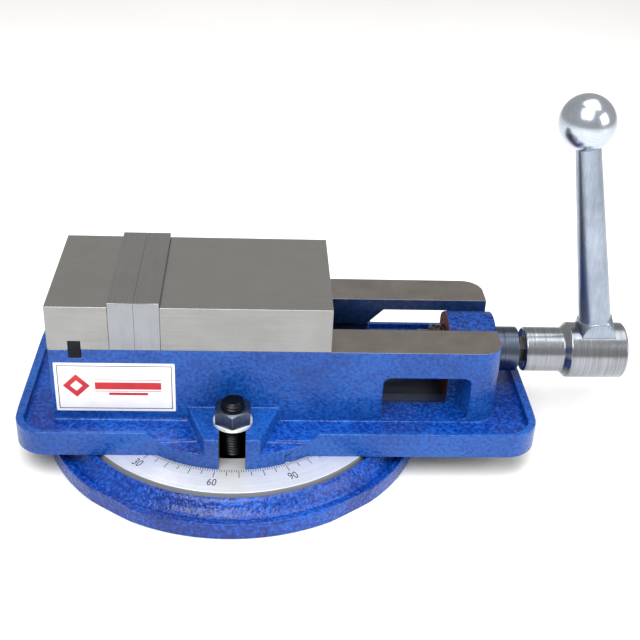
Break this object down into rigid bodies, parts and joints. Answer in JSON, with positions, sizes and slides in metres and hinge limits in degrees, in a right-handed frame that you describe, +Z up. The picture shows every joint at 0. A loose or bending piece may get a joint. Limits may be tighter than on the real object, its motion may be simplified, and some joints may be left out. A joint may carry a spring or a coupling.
{
  "type": "milling machine vise",
  "caption": "Angle-lock milling vise with ground steel jaws on a blue cast body, ball crank and graduated swivel base with table bolt slots.",
  "frame": {"origin": "swivel axis on the underside of the swivel base", "axes": "+X along the lead screw toward the crank, +Y away from the label side, +Z up"},
  "size_m": [0.5208, 0.3292, 0.3093],
  "materials": {
    "blue_enamel": "hammered blue enamel on cast iron",
    "ground_steel": "surface ground",
    "polished_steel": "polished",
    "screw_steel": "turned, oiled",
    "dark_iron": "machined cast iron",
    "black_oxide": "black oxide",
    "zinc": "bright zinc plate",
    "cage_brass": "pressed brass",
    "white_label": "printed aluminium plate"
  },
  "bodies": {
    "base": {"swivel_base": "blue_enamel"},
    "body": {"vise_body": "blue_enamel", "fixed_jaw": "ground_steel", "fixed_jaw_plate": "ground_steel", "fixed_plate_screws": "black_oxide", "fixed_jaw_bolts": "black_oxide", "jaw_key": "black_oxide", "label_plate": "white_label", "thrust_washer_housing": "screw_steel", "clamp_bolt_front": "black_oxide", "clamp_bolt_back": "black_oxide"},
    "jaw": {"movable_jaw": "ground_steel", "movable_jaw_plate": "ground_steel", "movable_plate_screws": "black_oxide", "jaw_nut": "dark_iron", "half_ball_segment": "screw_steel", "jaw_set_screw": "black_oxide"},
    "screw": {"lead_screw": "screw_steel", "thrust_washer_screw": "screw_steel", "bearing_collar": "black_oxide", "collar_pin": "screw_steel"},
    "bearing": {"thrust_cage": "cage_brass", "thrust_balls": "polished_steel"},
    "crank": {"crank_hub": "polished_steel", "crank_arm": "polished_steel", "crank_ball": "polished_steel"},
    "washer_front": {"clamp_washer_front": "zinc"},
    "washer_back": {"clamp_washer_back": "zinc"},
    "nut_front": {"clamp_nut_front": "black_oxide"},
    "nut_back": {"clamp_nut_back": "black_oxide"}
  },
  "joints": [
    {"name": "body_swivel", "type": "hinge", "parent": "base", "child": "body", "pos_m": [0, 0, 0], "axis": [0, 0, 1], "continuous": true},
    {"name": "screw_spin", "type": "hinge", "parent": "body", "child": "screw", "pos_m": [0.2, 0, 0.0757], "axis": [1, 0, 0], "range_deg": [0, 9000]},
    {"name": "jaw_slide", "type": "slide", "parent": "body", "child": "jaw", "axis": [1, 0, 0], "range_m": [0, 0.1272]},
    {"name": "bearing_cage_spin", "type": "hinge", "parent": "body", "child": "bearing", "pos_m": [0.17, 0, 0.0757], "axis": [1, 0, 0], "range_deg": [0, 4502]},
    {"name": "crank_pull", "type": "slide", "parent": "screw", "child": "crank", "axis": [1, 0, 0], "range_m": [0, 0.045]},
    {"name": "washer_lift_front", "type": "slide", "parent": "body", "child": "washer_front", "axis": [0, 0, 1], "range_m": [0, 0.00508]},
    {"name": "nut_turn_front", "type": "hinge", "parent": "washer_front", "child": "nut_front", "pos_m": [0, -0.0835, 0.06], "axis": [0, 0, 1], "range_deg": [0, 722]},
    {"name": "washer_lift_back", "type": "slide", "parent": "body", "child": "washer_back", "axis": [0, 0, 1], "range_m": [0, 0.00508]},
    {"name": "nut_turn_back", "type": "hinge", "parent": "washer_back", "child": "nut_back", "pos_m": [0, 0.0835, 0.06], "axis": [0, 0, 1], "range_deg": [0, 722]}
  ],
  "couplings": [
    {"joint": "jaw_slide", "follows": "screw_spin", "m_per_rad": 0.00080851},
    {"joint": "bearing_cage_spin", "follows": "screw_spin", "ratio": 0.5},
    {"joint": "nut_turn_front", "follows": "washer_lift_front", "rad_per_m": 2473.7},
    {"joint": "nut_turn_back", "follows": "washer_lift_back", "rad_per_m": 2473.7}
  ]
}
